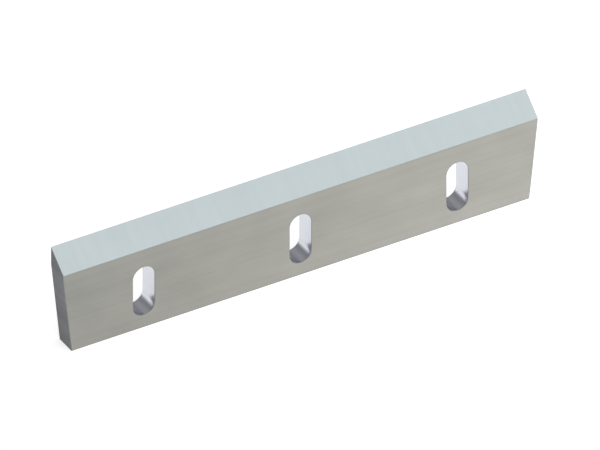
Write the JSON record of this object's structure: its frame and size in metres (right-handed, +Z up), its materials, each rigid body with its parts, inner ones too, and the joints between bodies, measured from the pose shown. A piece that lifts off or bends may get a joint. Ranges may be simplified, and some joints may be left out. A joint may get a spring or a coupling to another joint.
{
  "type": "rotor knife",
  "caption": "Flat steel knife bar for a granulator rotor, bevelled to one cutting edge, with upright slotted bolt holes and relieved ends.",
  "frame": {"origin": "middle of the heel: on the ground the knife stands on, halfway along it and halfway through its thickness", "axes": "+X along the cutting edge; +Y through the thickness, from the front face, where the bevel starts, to the back face, whose top is the cutting edge; +Z up from the heel to the cutting edge"},
  "size_m": [0.33, 0.015, 0.07],
  "materials": {
    "tool_steel": "fine ground"
  },
  "bodies": {
    "root": {"rotor_knife": "tool_steel"}
  },
  "joints": []
}
